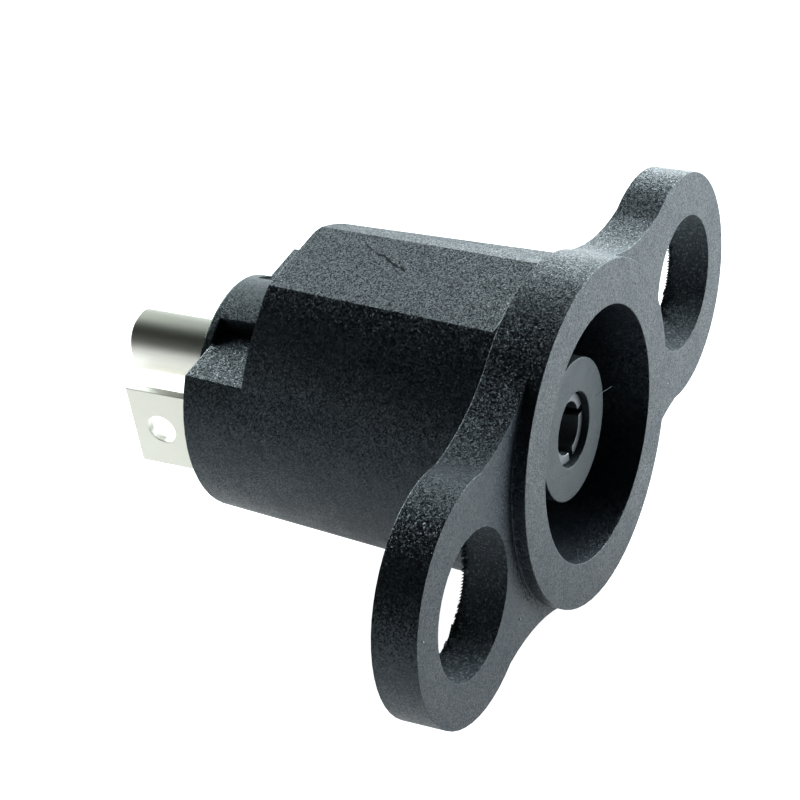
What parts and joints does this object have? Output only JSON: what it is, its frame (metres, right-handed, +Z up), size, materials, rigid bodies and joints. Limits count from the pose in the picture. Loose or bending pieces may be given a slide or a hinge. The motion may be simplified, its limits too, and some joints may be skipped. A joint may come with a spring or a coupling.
{
  "type": "dc barrel jack",
  "caption": "Panel-mount DC barrel jack: a socket with an insulated centre post in an oval flange with screw ears, and solder terminals behind.",
  "frame": {"origin": "centre of the two-screw pattern on the jack's axis, in the flange's back face, which seats on the panel", "axes": "+X along the flange from screw hole to screw hole, -Y out of the mouth and +Y along the solder terminals, +Z up to the flat top of the spring chamber"},
  "size_m": [0.0166, 0.0115, 0.0076],
  "materials": {
    "housing_plastic": "spark-eroded mould texture",
    "core_plastic": "plain moulded",
    "contact_metal": "tin plated, satin"
  },
  "bodies": {
    "root": {"housing": "housing_plastic", "core": "core_plastic", "centre_contact": "contact_metal", "sleeve_contact": "contact_metal"}
  },
  "joints": []
}
